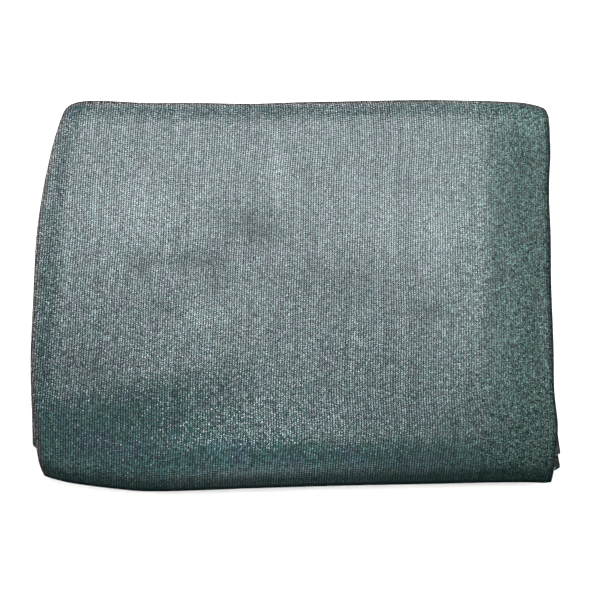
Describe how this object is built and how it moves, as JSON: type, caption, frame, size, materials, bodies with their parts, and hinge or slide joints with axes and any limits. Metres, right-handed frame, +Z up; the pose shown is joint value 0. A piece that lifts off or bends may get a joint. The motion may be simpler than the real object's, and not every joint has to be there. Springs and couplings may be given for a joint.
{
  "type": "folded privacy screen net",
  "caption": "Dark green knitted privacy screen net, doubled lengthwise and folded back and forth into a flat packet with a rolled front edge and a rounded side fold.",
  "frame": {"origin": "centre of the packet's base, on the surface that it lies on", "axes": "+X along the folds, from the rounded side fold to the selvedges; +Y from the rolled front to the folds at the back, along the knitted ribs; +Z up through the plies"},
  "size_m": [0.506, 0.3929, 0.0386],
  "materials": {
    "net": "knitted polyethylene tape, slightly glossy, dark green with a grey blue sheen"
  },
  "bodies": {
    "root": {"net": "net"}
  },
  "joints": []
}
